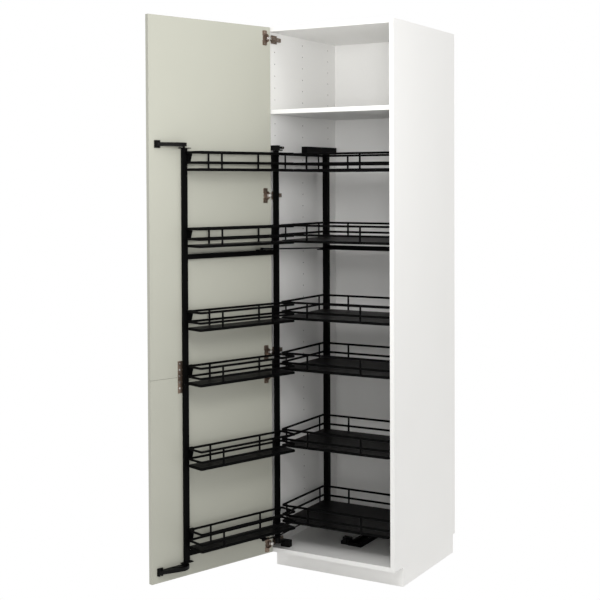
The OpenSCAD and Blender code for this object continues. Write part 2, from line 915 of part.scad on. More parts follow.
module inner_carriage() {
  half = runner_w / 2 - runner_wall - slide_gap;
  neck = runner_w / 2 - lip - slide_gap;
  y0 = inner_post_y0 - 80;
  y1 = inner_post_y0 + inner_post_d + 6;
  z0 = floor_z + runner_wall + slide_gap;
  z1 = floor_z + runner_h - runner_wall - slide_gap;
  color(dark) placed() {
    box([runner_x - half, y0, z0], [runner_x + half, y1, z1]);
    box([runner_x - neck, y0 + 10, z0], [runner_x + neck, y1 - 6, inner_low]);
  }
}

module runner_stop() {
  x1 = runner_x - runner_w / 2 - 1;
  y0 = runner_front + 5;
  color(dark) placed() difference() {
    box([x1 - 36, y0, floor_z], [x1, y0 + 38, floor_z + 26]);
    box([x1 - 12, y0 - 1, floor_z + 6], [x1 - 4, y0 + 24, floor_z + 27]);
    box([x1 - 37, y0 - 1, floor_z + 14], [x1 - 24, y0 + 14, floor_z + 27]);
  }
}

guide_w = 28;
guide_h = 28;
guide_z = inner_high + 5;
guide_wall = 2.5;
guide_slot = 10;
guide_len = 263;
guide_tail = 32;
guide_back_gap = 8;
guide_y1 = back_y - guide_back_gap - guide_tail;
guide_y0 = guide_y1 - guide_len;

module top_guide() {
  x1 = inner_x0 + guide_w;
  slot_x = inner_x0 + guide_w / 2 - guide_slot / 2;
  color(dark) placed() {
    difference() {
      box([inner_x0, guide_y0, guide_z], [x1, guide_y1, guide_z + guide_h]);
      box([inner_x0 + guide_wall, guide_y0 + 3, guide_z + guide_wall],
          [x1 - guide_wall, guide_y1 + 1, guide_z + guide_h - guide_wall]);
      box([slot_x, guide_y0 + 3, guide_z - 1], [slot_x + guide_slot, guide_y1 + 1, guide_z + guide_wall + 1]);
    }
    box([inner_x0, guide_y1, guide_z], [inner_x0 + 8, guide_y1 + guide_tail, guide_z + 6]);
  }
}

module top_slider() {
  mid = inner_x0 + guide_w / 2;
  half = guide_w / 2 - guide_wall - slide_gap;
  stem = guide_slot / 2 - slide_gap;
  y0 = inner_post_y0 - 22;
  y1 = inner_post_y0 + 4;
  head_z0 = guide_z + guide_wall + slide_gap;
  head_z1 = guide_z + guide_h - guide_wall - slide_gap;
  color(dark) placed() {
    box([mid - half, y0, head_z0], [mid + half, y1, head_z1]);
    box([mid - stem, y0 + 2, inner_high], [mid + stem, y1 - 2, guide_z + guide_wall + 2]);
    box([mid - stem, y0 + 2, inner_high],
        [inner_post_x0 + inner_post_w, inner_post_y0 + inner_post_d, inner_high + 3]);
  }
}

// Coupling rods: each turns on the front frame and drives the inner frame

top_rod_z = crossbar_z + crossbar_h / 2 + 4.5 + rod_eye_h / 2;
low_rod_z = crossbar_low_z - crossbar_h / 2 - 4.5 - rod_eye_h / 2;

module coupling_rod(z, drop, plate_z) {
  share = norm(rod_bend - rod_front) / (norm(rod_bend - rod_front) + norm(rod_rear - rod_bend));
  p = [rod_front.x, rod_front.y, z];
  q = [rod_bend.x, rod_bend.y, z - drop * share];
  r = [rod_rear.x, rod_rear.y, z - drop];
  color(dark) placed() {
    difference() {
      union() {
        translate(p) cylinder(h = rod_eye_h, d = rod_eye_d, center = true);
        tube_along(p, q, rod_d);
      }
      translate(p) cylinder(h = 3 * rod_eye_h, d = rod_pin_d + 2 * pin_gap, center = true);
    }
    translate(q) sphere(d = rod_d + 0.5);
    tube_along(q, r, rod_d);
    // Flattened end that holds the rear pin
    translate([r.x, r.y, r.z - rod_d / 2]) cylinder(h = rod_d + 2, d = rod_d + 4);
    translate([r.x, r.y, plate_z - 2]) cylinder(h = r.z - plate_z + 2, d = rod_pin_d);
  }
}

module coupling_rod_top() {
  coupling_rod(top_rod_z, rod_drop, top_slot_z);
}

module coupling_rod_bottom() {
  coupling_rod(low_rod_z, 0, low_slot_z);
}

side_panel_left();
side_panel_right();
top_panel();
bottom_panel();
back_panel();
fixed_shelf();
plinth_front();
plinth_left();
plinth_right();
plinth_rear();
hinge_arms();
hinge_links();
hinge_cups();
door_upper();
door_lower();
joining_plate();
guide_arm_top();
guide_arm_bottom();
pivot_bracket_top();
pivot_bracket_bottom();
top_guide();
floor_runner();
runner_stop();
front_post_pivot();
front_post_outer();
front_crossbar_top();
front_crossbar_low();
front_hooks();
front_tray_1();
front_tray_2();
front_tray_3();
front_tray_4();
front_tray_5();
front_tray_6();
front_floors();
inner_post_left();
inner_post_right();
inner_crossbar();
inner_base_bar();
slot_plate_top();
slot_plate_bottom();
inner_hooks();
inner_tray_1();
inner_tray_2();
inner_tray_3();
inner_tray_4();
inner_tray_5();
inner_tray_6();
inner_floors();
inner_carriage();
top_slider();
coupling_rod_top();
coupling_rod_bottom();
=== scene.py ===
# %% [markdown]
# # A tall larder cabinet with a linked pull-out
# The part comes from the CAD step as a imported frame: every node already has its
# real size and place, and rides on the body that it moves with. This lesson dresses
# that frame. It starts by loading it and keeping its box, because nothing made
# here may change the size of the cabinet.

# %% Load the frame
import bpy
import bmesh
import json
from math import radians, sin, cos, pi
from mathutils import Vector, Matrix


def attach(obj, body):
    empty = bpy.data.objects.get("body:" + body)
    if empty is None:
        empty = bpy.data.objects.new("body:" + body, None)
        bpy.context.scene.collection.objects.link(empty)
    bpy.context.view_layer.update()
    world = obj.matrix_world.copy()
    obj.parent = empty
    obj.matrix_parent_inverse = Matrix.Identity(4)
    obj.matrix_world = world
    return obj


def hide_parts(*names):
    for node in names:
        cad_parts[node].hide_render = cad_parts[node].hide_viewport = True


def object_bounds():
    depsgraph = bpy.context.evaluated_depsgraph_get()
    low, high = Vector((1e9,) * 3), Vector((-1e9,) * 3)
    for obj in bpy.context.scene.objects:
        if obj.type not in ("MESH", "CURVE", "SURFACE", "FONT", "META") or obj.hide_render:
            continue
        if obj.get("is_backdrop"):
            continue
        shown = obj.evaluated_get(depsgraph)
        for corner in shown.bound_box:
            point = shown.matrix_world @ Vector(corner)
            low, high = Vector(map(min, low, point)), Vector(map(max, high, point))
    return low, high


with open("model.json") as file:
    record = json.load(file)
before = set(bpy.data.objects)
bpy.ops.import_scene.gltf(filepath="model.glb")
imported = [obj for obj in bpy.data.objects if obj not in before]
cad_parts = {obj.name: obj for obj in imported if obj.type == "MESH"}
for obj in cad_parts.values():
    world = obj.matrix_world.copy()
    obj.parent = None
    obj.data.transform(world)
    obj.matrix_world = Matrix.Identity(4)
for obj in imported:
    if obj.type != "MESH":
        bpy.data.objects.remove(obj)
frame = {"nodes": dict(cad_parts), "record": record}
cad_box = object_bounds()
scene = bpy.context.scene
scene.view_settings.view_transform = "Standard"
print("nodes in the frame:", len(frame["nodes"]))

# %% [markdown]
# ## The camera
# A catalogue picture of furniture is taken with a long lens and a shifted frame,
# so that upright edges stay nearly parallel. The camera stands at the height of a
# person's eyes, to the right of the cabinet. Its place, turn, lens and shift were
# found by fitting known corners of the carcass and the door. The place is measured
# from the carcass's own corner, so ORIGIN, the point under the front plinth board
# where the frame has its zero, is taken off it.

# %% Camera
ORIGIN = Vector((0.3, 0.086, 0.0))
PHOTO = 600
FOCAL_PX = 1160.58
CENTRE_PX = (343.85, 209.35)
STAND = Vector((2.6402, -4.1026, 1.6269))
TURN_DEG, DOWN_DEG, ROLL_DEG = 28.896, 1.265, -0.203

camera_data = bpy.data.cameras.new("photo_camera")
camera = bpy.data.objects.new("photo_camera", camera_data)
scene.collection.objects.link(camera)
camera_data.sensor_width = 36.0
camera_data.lens = FOCAL_PX / PHOTO * camera_data.sensor_width
camera_data.shift_x = (PHOTO / 2 - CENTRE_PX[0]) / PHOTO
camera_data.shift_y = (CENTRE_PX[1] - PHOTO / 2) / PHOTO
camera_data.clip_end = 60.0
camera.location = STAND - ORIGIN
turn = Matrix.Rotation(radians(TURN_DEG), 4, "Z") @ Matrix.Rotation(radians(90 - DOWN_DEG), 4, "X")
camera.rotation_euler = (turn @ Matrix.Rotation(radians(ROLL_DEG), 4, "Z")).to_euler()
scene.camera = camera
print("camera stands at", [round(v, 3) for v in camera.location])

# %% [markdown]
# ## Floor and light
# The picture has a white ground and very soft light. One large lamp stands low in
# front, one hangs high on the right, a small one looks into the open upper shelf,
# and a white world fills the shadows. Floor and world show white to the camera and
# in reflections through Light Path, so the background needs no extra light, while
# the cabinet itself is lit at a plain level.

# %% Floor and world
FLOOR_REACH = 14
FLOOR_DROP = 0.0005
FLOOR_GREY = 0.92
FILL_STRENGTH = 0.74

def seen_rays(nodes, links):
    """Gives 1 for camera rays and for rays in a gloss or through glass, and 0 for the rest."""
    path = nodes.new("ShaderNodeLightPath")
    total = path.outputs["Is Camera Ray"]
    for label in ("Is Glossy Ray", "Is Transmission Ray"):
        add = nodes.new("ShaderNodeMath")
        add.use_clamp = True
        links.new(total, add.inputs[0])
        links.new(path.outputs[label], add.inputs[1])
        total = add.outputs[0]
    return total

def stage_material(name, seen, lit):
    """Shows one colour to the camera and in reflections, and takes light with another."""
    material = bpy.data.materials.new(name)
    material.use_nodes = True
    nodes, links = material.node_tree.nodes, material.node_tree.links
    nodes.clear()
    out = nodes.new("ShaderNodeOutputMaterial")
    mix = nodes.new("ShaderNodeMixShader")
    glow = nodes.new("ShaderNodeEmission")
    glow.inputs["Color"].default_value = (*seen, 1)
    body = nodes.new("ShaderNodeBsdfDiffuse")
    body.inputs["Color"].default_value = (*lit, 1)
    links.new(seen_rays(nodes, links), mix.inputs["Fac"])
    links.new(body.outputs[0], mix.inputs[1])
    links.new(glow.outputs[0], mix.inputs[2])
    links.new(mix.outputs[0], out.inputs["Surface"])
    return material

floor_mesh = bpy.data.meshes.new("floor")
floor_corners = [(x * FLOOR_REACH, y * FLOOR_REACH, 0) for x, y in ((-1, -1), (1, -1), (1, 1), (-1, 1))]
floor_mesh.from_pydata(floor_corners, [], [(0, 1, 2, 3)])
floor = bpy.data.objects.new("floor", floor_mesh)
floor.location.z = -FLOOR_DROP
scene.collection.objects.link(floor)
floor_mesh.materials.append(stage_material("pale_floor", (1, 1, 1), (FLOOR_GREY, FLOOR_GREY, FLOOR_GREY)))
floor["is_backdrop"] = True

world = bpy.data.worlds.new("studio")
scene.world = world
world.use_nodes = True
world_nodes, world_links = world.node_tree.nodes, world.node_tree.links
world_nodes.clear()
world_out = world_nodes.new("ShaderNodeOutputWorld")
seen = world_nodes.new("ShaderNodeBackground")
seen.inputs["Color"].default_value = (1, 1, 1, 1)
seen.inputs["Strength"].default_value = 1.0
fill = world_nodes.new("ShaderNodeBackground")
fill.inputs["Color"].default_value = (1.0, 0.995, 0.985, 1)
fill.inputs["Strength"].default_value = FILL_STRENGTH
mix = world_nodes.new("ShaderNodeMixShader")
world_links.new(seen_rays(world_nodes, world_links), mix.inputs["Fac"])
world_links.new(fill.outputs[0], mix.inputs[1])
world_links.new(seen.outputs[0], mix.inputs[2])
world_links.new(mix.outputs[0], world_out.inputs["Surface"])

# %% Lamps
def soft_lamp(name, place, aim, size, power):
    """A square studio lamp at place that looks at aim."""
    data = bpy.data.lights.new(name, "AREA")
    data.shape = "SQUARE"
    data.size = size
    data.energy = power
    lamp = bpy.data.objects.new(name, data)
    lamp.location = place
    lamp.rotation_euler = (Vector(aim) - Vector(place)).to_track_quat("-Z", "Y").to_euler()
    scene.collection.objects.link(lamp)
    return lamp

soft_lamp("front_lamp", (2.0, -4.2, 0.9), (0.1, 0.2, 0.6), 2.6, 32)
soft_lamp("high_lamp", (2.2, -1.9, 5.0), (0.0, -0.1, 1.1), 2.6, 30)
soft_lamp("shelf_lamp", (0.8, -1.5, 2.06), (-0.12, 0.3, 2.2), 0.7, 16)


# %% [markdown]
# ## Shared effects as node groups
# Board and powder coat both have a fine, even texture that you feel more than
# see, and both look a little uneven under a lamp. Two effects cover all of the
# finishes here, so each is built once as a group with named inputs: a grain that
# gives the height of a fine bump, and a broad shade that drifts over a surface.

# %% Grain and drift groups
def new_group(name, ins, outs):
    """A shader node group; ins hold (name, type, value) and outs hold (name, type)."""
    tree = bpy.data.node_groups.new(name, "ShaderNodeTree")
    for label, kind, value in ins:
        tree.interface.new_socket(name=label, in_out="INPUT", socket_type=kind).default_value = value
    for label, kind in outs:
        tree.interface.new_socket(name=label, in_out="OUTPUT", socket_type=kind)
    return tree, tree.nodes.new("NodeGroupInput"), tree.nodes.new("NodeGroupOutput")

def noise_node(tree, scale_socket, detail):
    """Noise over the piece's own Object coordinates, so that it rides with the piece."""
    coords = tree.nodes.new("ShaderNodeTexCoord")
    node = tree.nodes.new("ShaderNodeTexNoise")
    node.inputs["Detail"].default_value = detail
    tree.links.new(coords.outputs["Object"], node.inputs["Vector"])
    tree.links.new(scale_socket, node.inputs["Scale"])
    return node

NOISE_LOW, NOISE_HIGH = 0.3, 0.7
grain_group, gin, gout = new_group(
    "surface_grain", [("Scale", "NodeSocketFloat", 900.0)], [("Height", "NodeSocketFloat")])
fine = noise_node(grain_group, gin.outputs["Scale"], 3.0)
spread = grain_group.nodes.new("ShaderNodeMapRange")
spread.inputs["From Min"].default_value = NOISE_LOW
spread.inputs["From Max"].default_value = NOISE_HIGH
grain_group.links.new(fine.outputs["Fac"], spread.inputs["Value"])
grain_group.links.new(spread.outputs["Result"], gout.inputs["Height"])

drift_group, din, dout = new_group(
    "colour_drift",
    [("Colour", "NodeSocketColor", (0.8, 0.8, 0.8, 1)),
     ("Other Colour", "NodeSocketColor", (0.7, 0.7, 0.7, 1)),
     ("Scale", "NodeSocketFloat", 4.0),
     ("Rough", "NodeSocketFloat", 0.4),
     ("Rough Spread", "NodeSocketFloat", 0.1)],
    [("Colour", "NodeSocketColor"), ("Roughness", "NodeSocketFloat")])
broad = noise_node(drift_group, din.outputs["Scale"], 2.0)
blend = drift_group.nodes.new("ShaderNodeMix")
blend.data_type = "RGBA"
# In a Mix node set to RGBA, inputs 6 and 7 and output 2 are the colour sockets
drift_group.links.new(broad.outputs["Fac"], blend.inputs["Factor"])
drift_group.links.new(din.outputs["Colour"], blend.inputs[6])
drift_group.links.new(din.outputs["Other Colour"], blend.inputs[7])
drift_group.links.new(blend.outputs[2], dout.inputs["Colour"])
gloss = drift_group.nodes.new("ShaderNodeMath")
gloss.operation = "MULTIPLY_ADD"
drift_group.links.new(broad.outputs["Fac"], gloss.inputs[0])
drift_group.links.new(din.outputs["Rough Spread"], gloss.inputs[1])
drift_group.links.new(din.outputs["Rough"], gloss.inputs[2])
drift_group.links.new(gloss.outputs[0], dout.inputs["Roughness"])
print("groups:", [g.name for g in (grain_group, drift_group)])

# %% [markdown]
# ## The finishes
# The carcass is board with a white melamine face, the door has a warm greige
# lacquer, and all of the trays and frames are steel with an anthracite powder
# coat. Hinges are bronze-plated, their links and the screws are bright zinc. Each
# finish is one material: the drift group sets colour and roughness, the grain
# group adds the fine bump.

# %% Materials
BUMP_STRENGTH = 0.6

def finish(name, colour, other, rough, spread, grain, bump, metal=0.0, drift=4.0, gleam=0.5):
    """A procedural finish between two colours. grain and drift are noise scales per
    metre, bump is a depth in metres, spread is how far the roughness rises over rough."""
    material = bpy.data.materials.new(name)
    material.use_nodes = True
    nodes, links = material.node_tree.nodes, material.node_tree.links
    shader = nodes["Principled BSDF"]
    shader.inputs["Metallic"].default_value = metal
    shader.inputs["Specular IOR Level"].default_value = gleam
    shade = nodes.new("ShaderNodeGroup")
    shade.node_tree = drift_group
    shade.inputs["Colour"].default_value = (*colour, 1)
    shade.inputs["Other Colour"].default_value = (*other, 1)
    shade.inputs["Scale"].default_value = drift
    shade.inputs["Rough"].default_value = rough
    shade.inputs["Rough Spread"].default_value = spread
    links.new(shade.outputs["Colour"], shader.inputs["Base Color"])
    links.new(shade.outputs["Roughness"], shader.inputs["Roughness"])
    texture = nodes.new("ShaderNodeGroup")
    texture.node_tree = grain_group
    texture.inputs["Scale"].default_value = grain
    height = nodes.new("ShaderNodeBump")
    height.inputs["Distance"].default_value = bump
    height.inputs["Strength"].default_value = BUMP_STRENGTH
    links.new(texture.outputs["Height"], height.inputs["Height"])
    links.new(height.outputs["Normal"], shader.inputs["Normal"])
    return material

FINISH = {
    "white_board": finish("white_melamine", (0.86, 0.855, 0.838), (0.84, 0.835, 0.818),
                          0.38, 0.12, 700, 0.00004),
    "door_board": finish("greige_lacquer", (0.452, 0.452, 0.388), (0.424, 0.426, 0.364),
                         0.34, 0.12, 500, 0.00003),
    "bronze_steel": finish("bronze_plate", (0.27, 0.205, 0.16), (0.17, 0.12, 0.09),
                           0.25, 0.2, 900, 0.00002, metal=0.9, drift=60),
    "dark_steel": finish("anthracite_coat", (0.0015, 0.0015, 0.0015), (0.003, 0.003, 0.003),
                         0.42, 0.15, 1400, 0.00004, gleam=0.035),
    "black_plastic": finish("black_moulding", (0.003, 0.003, 0.003), (0.005, 0.005, 0.005),
                            0.42, 0.15, 1100, 0.00005, gleam=0.08),
    "tray_board": finish("anthracite_board", (0.003, 0.003, 0.0031), (0.005, 0.005, 0.0051),
                         0.33, 0.12, 800, 0.00003, gleam=0.05),
    "bright_steel": finish("bright_zinc", (0.62, 0.60, 0.57), (0.5, 0.48, 0.45),
                           0.2, 0.15, 900, 0.00001, metal=1.0, drift=80),
    # Painted shade: a dark finish that stands for the shade inside the shelf-pin holes
    "hole": finish("painted_hole_shade", (0.10, 0.09, 0.08), (0.14, 0.12, 0.10),
                   0.8, 0.1, 1500, 0.00005),
}

slot_of = {p["node"]: p["material_slot"] for p in frame["record"]["subparts"]}
for name, node in frame["nodes"].items():
    node.data.materials.clear()
    node.data.materials.append(FINISH[slot_of[name]])
print("finishes:", len(FINISH))

# %% [markdown]
# ## Places to build in
# The cabinet was drawn standing at its own corner. The front frame, the door and
# its hinge links were drawn closed and then swung open. Each place is one matrix
# from millimetres in that drawing to metres in the frame that was loaded, so a
# piece can be built straight and true and still lands on the opened door.

# %% Places
MM = Matrix.Scale(0.001, 4)
SWING = radians(108.7)
LINK_SWING = radians(56.9)
ARM_PIN = Vector((27.0, 0.2, 0))
CUP_PIN = Vector((12.0, -6.5, 0))
PIVOT = Vector((47.0, 9.0, 0))

def shift(v):
    return Matrix.Translation(v)

def spin(angle):
    return Matrix.Rotation(angle, 4, "Z")

CARCASS = MM @ shift((-300, -86, 0))
cup_open = ARM_PIN + spin(LINK_SWING) @ (CUP_PIN - ARM_PIN)
DOOR = CARCASS @ shift(cup_open) @ spin(-SWING) @ shift(-CUP_PIN)
LINK = CARCASS @ shift(ARM_PIN) @ spin(LINK_SWING) @ shift(-ARM_PIN)
FRONT = CARCASS @ shift(PIVOT) @ spin(-SWING)
print("outer post stands at", [round(v, 3) for v in FRONT @ Vector((461, 0, 0))])

# %% Building helpers
def outline_prism(bm, points, low, high):
    """A straight prism over an outline in the XY plane."""
    under = [bm.verts.new((x, y, low)) for x, y in points]
    over = [bm.verts.new((x, y, high)) for x, y in points]
    bm.faces.new(list(reversed(under)))
    bm.faces.new(over)
    count = len(points)
    for i in range(count):
        j = (i + 1) % count
        bm.faces.new((under[i], under[j], over[j], over[i]))

def rod(bm, start, end, radius, sides=16):
    """A round bar from start to end."""
    start, end = Vector(start), Vector(end)
    way = (end - start).to_track_quat("Z", "Y").to_matrix().to_4x4()
    place = shift((start + end) / 2) @ way
    bmesh.ops.create_cone(bm, cap_ends=True, segments=sides, radius1=radius, radius2=radius,
                          depth=(end - start).length, matrix=place)

SOFT_FROM_DEG = 30
SHARP_FROM_DEG = 35

def soften(bm, width, segments=2):
    """Rounds every edge that turns by more than SOFT_FROM_DEG."""
    sharp = [e for e in bm.edges if e.is_manifold and e.calc_face_angle(0) > radians(SOFT_FROM_DEG)]
    if sharp:
        bmesh.ops.bevel(bm, geom=sharp, offset=width, segments=segments, profile=0.6,
                        affect="EDGES", clamp_overlap=True)

def pour(part, whole):
    """Adds one small mesh to a larger one and frees it."""
    mesh = bpy.data.meshes.new("part")
    part.to_mesh(mesh)
    part.free()
    whole.from_mesh(mesh)
    bpy.data.meshes.remove(mesh)

def piece(name, bm, place, material, body, nodes=()):
    """Puts a finished mesh in its place, gives it a finish and lets it ride."""
    bmesh.ops.recalc_face_normals(bm, faces=bm.faces)
    bm.transform(place)
    mesh = bpy.data.meshes.new(name)
    bm.to_mesh(mesh)
    bm.free()
    for face in mesh.polygons:
        face.use_smooth = True
    mesh.set_sharp_from_angle(angle=radians(SHARP_FROM_DEG))
    obj = bpy.data.objects.new(name, mesh)
    scene.collection.objects.link(obj)
    mesh.materials.append(FINISH[material])
    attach(obj, body)
    if nodes:
        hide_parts(*nodes)
    return obj

# %% [markdown]
# ## Wire trays with Geometry Nodes
# Twelve trays share one recipe: three flat rails run round the tray, short flat
# uprights stand between them, and round cross wires carry the floor board. A curve
# swept with a profile makes a rail, and an upright or a wire is one little bar set
# on many points, so three small node trees make them all. Sizes are named inputs,
# and the trees end in plain geometry that can be exported. The helpers come first,
# because the screws and the lined holes further down use them too.

# %% Parts of a node tree
def new_tree(name, sizes):
    """A geometry node tree with an input mesh, named sizes and a material."""
    tree = bpy.data.node_groups.new(name, "GeometryNodeTree")
    tree.interface.new_socket(name="Geometry", in_out="INPUT", socket_type="NodeSocketGeometry")
    for label, value in sizes:
        socket = tree.interface.new_socket(name=label, in_out="INPUT", socket_type="NodeSocketFloat")
        socket.default_value = value
    tree.interface.new_socket(name="Finish", in_out="INPUT", socket_type="NodeSocketMaterial")
    tree.interface.new_socket(name="Geometry", in_out="OUTPUT", socket_type="NodeSocketGeometry")
    return tree, tree.nodes.new("NodeGroupInput"), tree.nodes.new("NodeGroupOutput")

def close_tree(tree, source, gi, go):
    """Ends a tree in Realize Instances and Set Material."""
    real = tree.nodes.new("GeometryNodeRealizeInstances")
    paint = tree.nodes.new("GeometryNodeSetMaterial")
    tree.links.new(source, real.inputs["Geometry"])
    tree.links.new(real.outputs["Geometry"], paint.inputs["Geometry"])
    tree.links.new(gi.outputs["Finish"], paint.inputs["Material"])
    tree.links.new(paint.outputs["Geometry"], go.inputs["Geometry"])

def maths(tree, operation, first, second):
    """One Math node on two sockets or numbers; gives back its output."""
    node = tree.nodes.new("ShaderNodeMath")
    node.operation = operation
    for k, value in enumerate((first, second)):
        if isinstance(value, (int, float)):
            node.inputs[k].default_value = value
        else:
            tree.links.new(value, node.inputs[k])
    return node.outputs[0]

def vector(tree, **parts):
    """A vector from sockets for some of X, Y and Z; the rest stays 0."""
    node = tree.nodes.new("ShaderNodeCombineXYZ")
    for label, value in parts.items():
        tree.links.new(value, node.inputs[label])
    return node.outputs[0]

def rod_node(tree, sides, radius, length):
    """A closed cylinder on the Z axis, with its middle at zero."""
    node = tree.nodes.new("GeometryNodeMeshCylinder")
    node.inputs["Vertices"].default_value = sides
    tree.links.new(radius, node.inputs["Radius"])
    tree.links.new(length, node.inputs["Depth"])
    return node.outputs["Mesh"]

def fillet(tree, curve, radius, count):
    """Rounds the corners of a curve with count steps each."""
    node = tree.nodes.new("GeometryNodeFilletCurve")
    node.mode = "POLY"
    node.inputs["Count"].default_value = count
    tree.links.new(curve, node.inputs["Curve"])
    tree.links.new(radius, node.inputs["Radius"])
    return node.outputs["Curve"]

def swept_flat(tree, path, width, height, edge):
    """Sweeps a flat bar with soft edges along a path and closes its ends."""
    flat = tree.nodes.new("GeometryNodeCurvePrimitiveQuadrilateral")
    sweep = tree.nodes.new("GeometryNodeCurveToMesh")
    sweep.inputs["Fill Caps"].default_value = True
    tree.links.new(width, flat.inputs["Width"])
    tree.links.new(height, flat.inputs["Height"])
    tree.links.new(path, sweep.inputs["Curve"])
    tree.links.new(fillet(tree, flat.outputs["Curve"], edge, 2), sweep.inputs["Profile Curve"])
    return sweep.outputs["Mesh"]

def set_out(tree, shape, gi, go, axis="Z", pivot="AUTO"):
    """Sets a shape on every point, its axis along the point's own direction, and ends the tree."""
    spread = tree.nodes.new("GeometryNodeInstanceOnPoints")
    way = tree.nodes.new("GeometryNodeInputNamedAttribute")
    way.data_type = "FLOAT_VECTOR"
    way.inputs["Name"].default_value = "along"
    align = tree.nodes.new("FunctionNodeAlignRotationToVector")
    align.axis = axis
    align.pivot_axis = pivot
    tree.links.new(gi.outputs["Geometry"], spread.inputs["Points"])
    tree.links.new(shape, spread.inputs["Instance"])
    tree.links.new(way.outputs["Attribute"], align.inputs["Vector"])
    tree.links.new(align.outputs["Rotation"], spread.inputs["Rotation"])
    close_tree(tree, spread.outputs["Instances"], gi, go)

# %% The trays' three trees
# A rail: edges become a curve, its corners are rounded, a flat bar is swept along it
rail_tree, gi, go = new_tree(
    "swept_rail", [("Height", 0.008), ("Thickness", 0.004), ("Corner", 0.008), ("Edge", 0.001)])
to_curve = rail_tree.nodes.new("GeometryNodeMeshToCurve")
rail_tree.links.new(gi.outputs["Geometry"], to_curve.inputs["Mesh"])
rounded = fillet(rail_tree, to_curve.outputs["Curve"], gi.outputs["Corner"], 5)
upright_normals = rail_tree.nodes.new("GeometryNodeSetCurveNormal")
upright_normals.mode = "Z_UP"
rail_tree.links.new(rounded, upright_normals.inputs["Curve"])
rail = swept_flat(rail_tree, upright_normals.outputs["Curve"],
                  gi.outputs["Thickness"], gi.outputs["Height"], gi.outputs["Edge"])
close_tree(rail_tree, rail, gi, go)

# A round rod on each point
rod_tree, gi, go = new_tree("rod_on_point", [("Radius", 0.0022), ("Length", 0.06)])
set_out(rod_tree, rod_node(rod_tree, 10, gi.outputs["Radius"], gi.outputs["Length"]), gi, go)

# A flat bar that stands on each point, with its wide face along the tray's wall
bar_tree, gi, go = new_tree(
    "bar_on_point", [("Width", 0.008), ("Thickness", 0.004), ("Length", 0.06), ("Edge", 0.001)])
line = bar_tree.nodes.new("GeometryNodeCurvePrimitiveLine")
for end, way in (("Start", -0.5), ("End", 0.5)):
    tip = vector(bar_tree, Z=maths(bar_tree, "MULTIPLY", gi.outputs["Length"], way))
    bar_tree.links.new(tip, line.inputs[end])
bar = swept_flat(bar_tree, line.outputs["Curve"],
                 gi.outputs["Width"], gi.outputs["Thickness"], gi.outputs["Edge"])
set_out(bar_tree, bar, gi, go, "X", "Z")
print("trees:", rail_tree.name, rod_tree.name, bar_tree.name)

# %% Running a tree
MERGE_DIST = 0.00001

def grown(name, tree, points, edges, values, material, along=None):
    """Runs a tree on points and edges and gives back the finished plain mesh."""
    mesh = bpy.data.meshes.new(name + "_base")
    mesh.from_pydata(points, edges, [])
    if along is not None:
        attribute = mesh.attributes.new("along", "FLOAT_VECTOR", "POINT")
        for k in range(len(points)):
            attribute.data[k].vector = along[k]
    obj = bpy.data.objects.new(name + "_base", mesh)
    scene.collection.objects.link(obj)
    modifier = obj.modifiers.new("grow", "NODES")
    modifier.node_group = tree
    for item in tree.interface.items_tree:
        if item.item_type == "SOCKET" and item.in_out == "INPUT":
            if item.name in values:
                modifier[item.identifier] = values[item.name]
            elif item.name == "Finish":
                modifier[item.identifier] = FINISH[material]
    ready = obj.evaluated_get(bpy.context.evaluated_depsgraph_get())
    result = bpy.data.meshes.new_from_object(ready)
    obj.modifiers.clear()
    bpy.data.objects.remove(obj)
    bpy.data.meshes.remove(mesh)
    return result

def joined(name, meshes, material, body, nodes=()):
    """Joins grown meshes in metres into one piece that rides on a body."""
    bm = bmesh.new()
    for mesh in meshes:
        bm.from_mesh(mesh)
        bpy.data.meshes.remove(mesh)
    bmesh.ops.remove_doubles(bm, verts=bm.verts, dist=MERGE_DIST)
    return piece(name, bm, Matrix.Identity(4), material, body, nodes)

# %% The tray recipe
TRAY_TOPS = (1751, 1453, 1129, 914, 590, 268)
TRAY_H = 68
MID_DROP = 40
WIRE_DROP = 1
RAIL = {"Height": 0.009, "Thickness": 0.0045, "Corner": 0.008, "Edge": 0.0014}
UPRIGHT = {"Width": 0.008, "Thickness": 0.0036, "Length": (TRAY_H - 6) / 1000, "Edge": 0.0009}
WIRE_R = 0.0028

def loop(points, edges, corners):
    """Adds a closed ring of points to a wire mesh."""
    first = len(points)
    points.extend(corners)
    count = len(corners)
    edges.extend((first + i, first + (i + 1) % count) for i in range(count))

def trays(name, place, low, high, uprights, bars, body, nodes):
    """Six trays between two plan corners in millimetres, as one piece. uprights are
    plan points and bars is the number of cross wires under each floor."""
    (x0, y0), (x1, y1) = low, high
    flats, flat_edges = [], []
    bars_at, bar_dirs, cross, cross_dirs = [], [], [], []
    along_x = (place.to_3x3() @ Vector((1, 0, 0))).normalized()
    over = (place.to_3x3() @ Vector((0, 1, 0))).normalized()
    for top in TRAY_TOPS:
        for z in (top, top - MID_DROP, top - TRAY_H):
            corners = ((x0, y0), (x1, y0), (x1, y1), (x0, y1))
            loop(flats, flat_edges, [place @ Vector((x, y, z)) for x, y in corners])
        for x, y in uprights:
            bars_at.append(place @ Vector((x, y, top - TRAY_H / 2)))
            bar_dirs.append(along_x if y in (y0, y1) else over)
        for i in range(1, bars + 1):
            x = x0 + (x1 - x0) * i / (bars + 1)
            cross.append(place @ Vector((x, (y0 + y1) / 2, top - TRAY_H - WIRE_DROP)))
            cross_dirs.append(over)
    wire = {"Radius": WIRE_R, "Length": (y1 - y0) / 1000}
    parts = [grown(name + "_rails", rail_tree, flats, flat_edges, RAIL, "dark_steel"),
             grown(name + "_uprights", bar_tree, bars_at, [], UPRIGHT, "dark_steel", bar_dirs),
             grown(name + "_cross_wires", rod_tree, cross, [], wire, "dark_steel", cross_dirs)]
    obj = joined(name, parts, "dark_steel", body, nodes)
    print(name, "has", len(obj.data.polygons), "faces")

def tray_nodes(row):
    return ["%s_tray_%d" % (row, i) for i in range(1, len(TRAY_TOPS) + 1)]

